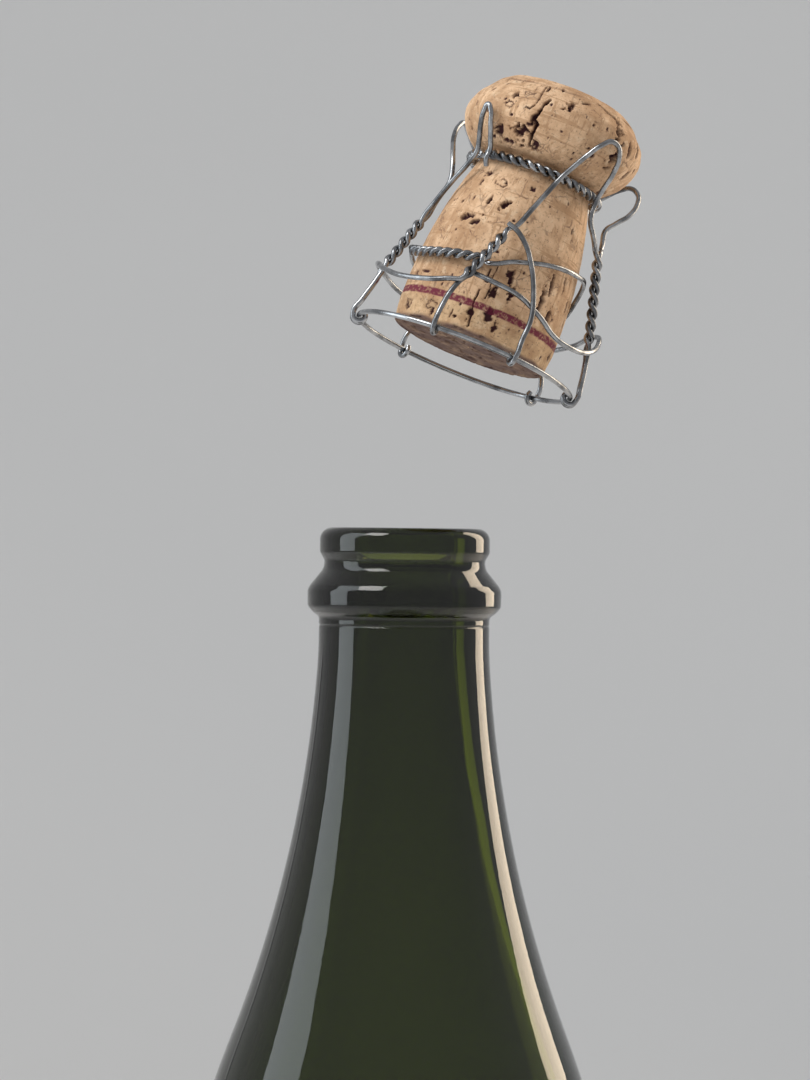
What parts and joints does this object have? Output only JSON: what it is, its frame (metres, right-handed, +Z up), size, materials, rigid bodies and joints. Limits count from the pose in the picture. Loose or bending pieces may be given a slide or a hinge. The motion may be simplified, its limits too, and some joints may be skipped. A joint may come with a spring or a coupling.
{
  "type": "champagne bottle with popped cork",
  "caption": "Sparkling wine bottle with its popped mushroom cork in a twisted wire cage, in flight above the mouth on a sliding joint.",
  "frame": {"origin": "centre of the standing face, on the floor under the bottle's axis", "axes": "+Z up along the bottle's axis, front of the picture at -Y, the cork flies up towards +X and leans back to +Y"},
  "size_m": [0.086, 0.086, 0.3663],
  "materials": {
    "green_glass": "gloss",
    "cork_grain": "matte",
    "cork_stained": "matte",
    "cage_wire": "satin"
  },
  "bodies": {
    "bottle": {"bottle_glass": "green_glass"},
    "cork": {"cork_body": "cork_grain", "cork_disc": "cork_stained"},
    "cage": {"hoop_wire_front_left": "cage_wire", "hoop_wire_front_right": "cage_wire", "hoop_wire_back_right": "cage_wire", "hoop_wire_back_left": "cage_wire", "neck_ring_wire_first": "cage_wire", "neck_ring_wire_second": "cage_wire", "upper_belt_wire": "cage_wire", "lower_belt_wire": "cage_wire"},
    "bottom_ring": {"bottom_ring_wire": "cage_wire"},
    "latch_bow": {"latch_bow_wire": "cage_wire"}
  },
  "joints": [
    {"name": "cork_flight", "type": "slide", "parent": "bottle", "child": "cork", "axis": [0.3559, 0.1167, 0.9272], "range_m": [-0.025, 0.06]},
    {"name": "cage_spin", "type": "hinge", "parent": "cork", "child": "cage", "pos_m": [0.0104, 0.00365, 0.31895], "axis": [0.3559, 0.1167, 0.9272], "continuous": true},
    {"name": "ring_slip", "type": "hinge", "parent": "cage", "child": "bottom_ring", "pos_m": [0.0104, 0.00365, 0.31895], "axis": [0.3559, 0.1167, 0.9272], "continuous": true},
    {"name": "latch_swing", "type": "hinge", "parent": "cage", "child": "latch_bow", "pos_m": [0.01762, -0.01428, 0.3166], "axis": [0.843, 0.3881, -0.3724], "range_deg": [0, 110]}
  ]
}
